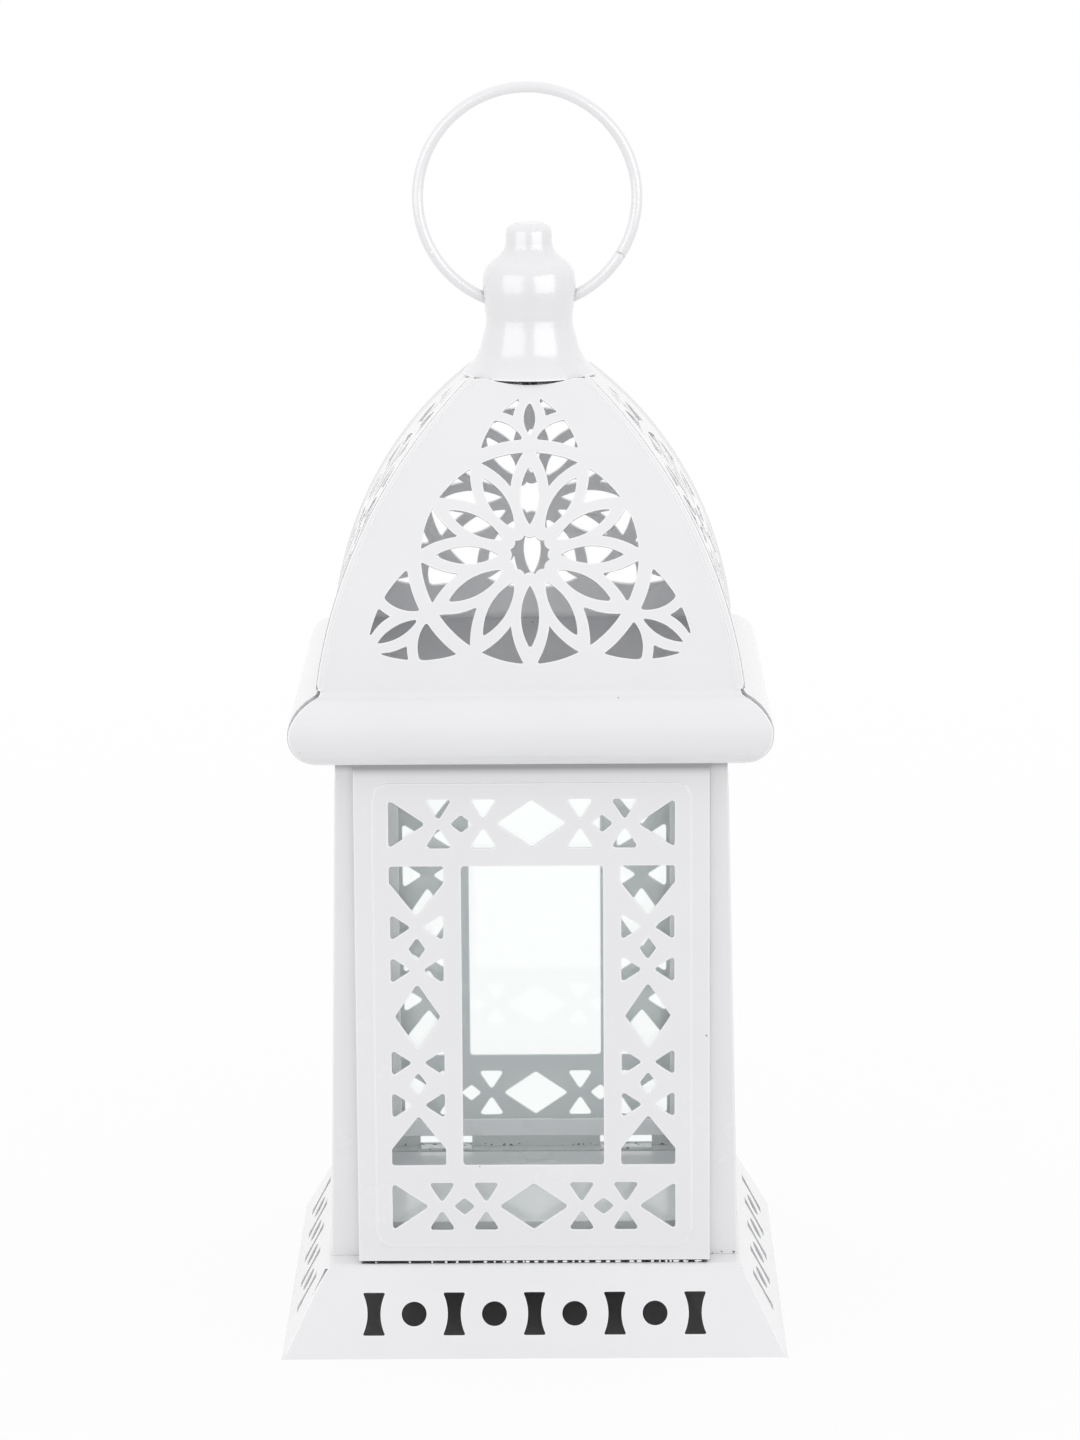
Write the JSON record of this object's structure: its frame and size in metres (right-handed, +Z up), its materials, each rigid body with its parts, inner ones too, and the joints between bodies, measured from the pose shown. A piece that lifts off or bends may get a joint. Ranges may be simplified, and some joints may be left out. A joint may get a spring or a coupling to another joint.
{
  "type": "candle lantern",
  "caption": "Square candle lantern of pierced sheet metal with glazed lattice sides, a hinged door, a curved roof and a ring handle.",
  "frame": {"origin": "middle of the plinth's footprint, on the surface the lantern stands on", "axes": "+Z up, the door faces -Y, +X to the right of someone who looks at the door"},
  "size_m": [0.105, 0.105, 0.2593],
  "materials": {
    "white_paint": "satin",
    "pane_glass": "gloss",
    "bare_steel": "satin"
  },
  "bodies": {
    "lantern": {"plinth": "white_paint", "wall_left": "white_paint", "wall_right": "white_paint", "wall_back": "white_paint", "glass_left": "pane_glass", "glass_right": "pane_glass", "glass_back": "pane_glass", "frame_left": "white_paint", "frame_right": "white_paint", "frame_back": "white_paint", "hinge_pins": "bare_steel", "eave_frame": "white_paint", "roof_front": "white_paint", "roof_back": "white_paint", "roof_left": "white_paint", "roof_right": "white_paint", "roof_cap": "white_paint", "finial": "white_paint", "finial_bar": "white_paint", "finial_screw": "bare_steel", "finial_nut": "bare_steel"},
    "door": {"door_panel": "white_paint", "door_glass": "pane_glass", "door_frame": "white_paint", "door_catch": "bare_steel"},
    "handle": {"ring_handle": "white_paint"}
  },
  "joints": [
    {"name": "door_hinge", "type": "hinge", "parent": "lantern", "child": "door", "pos_m": [-0.03508, -0.0388, 0.07], "axis": [0, 0, -1], "range_deg": [0, 94]},
    {"name": "handle_swing", "type": "hinge", "parent": "lantern", "child": "handle", "pos_m": [0, 0, 0.21452], "axis": [1, 0, 0], "range_deg": [-136, 136]}
  ]
}
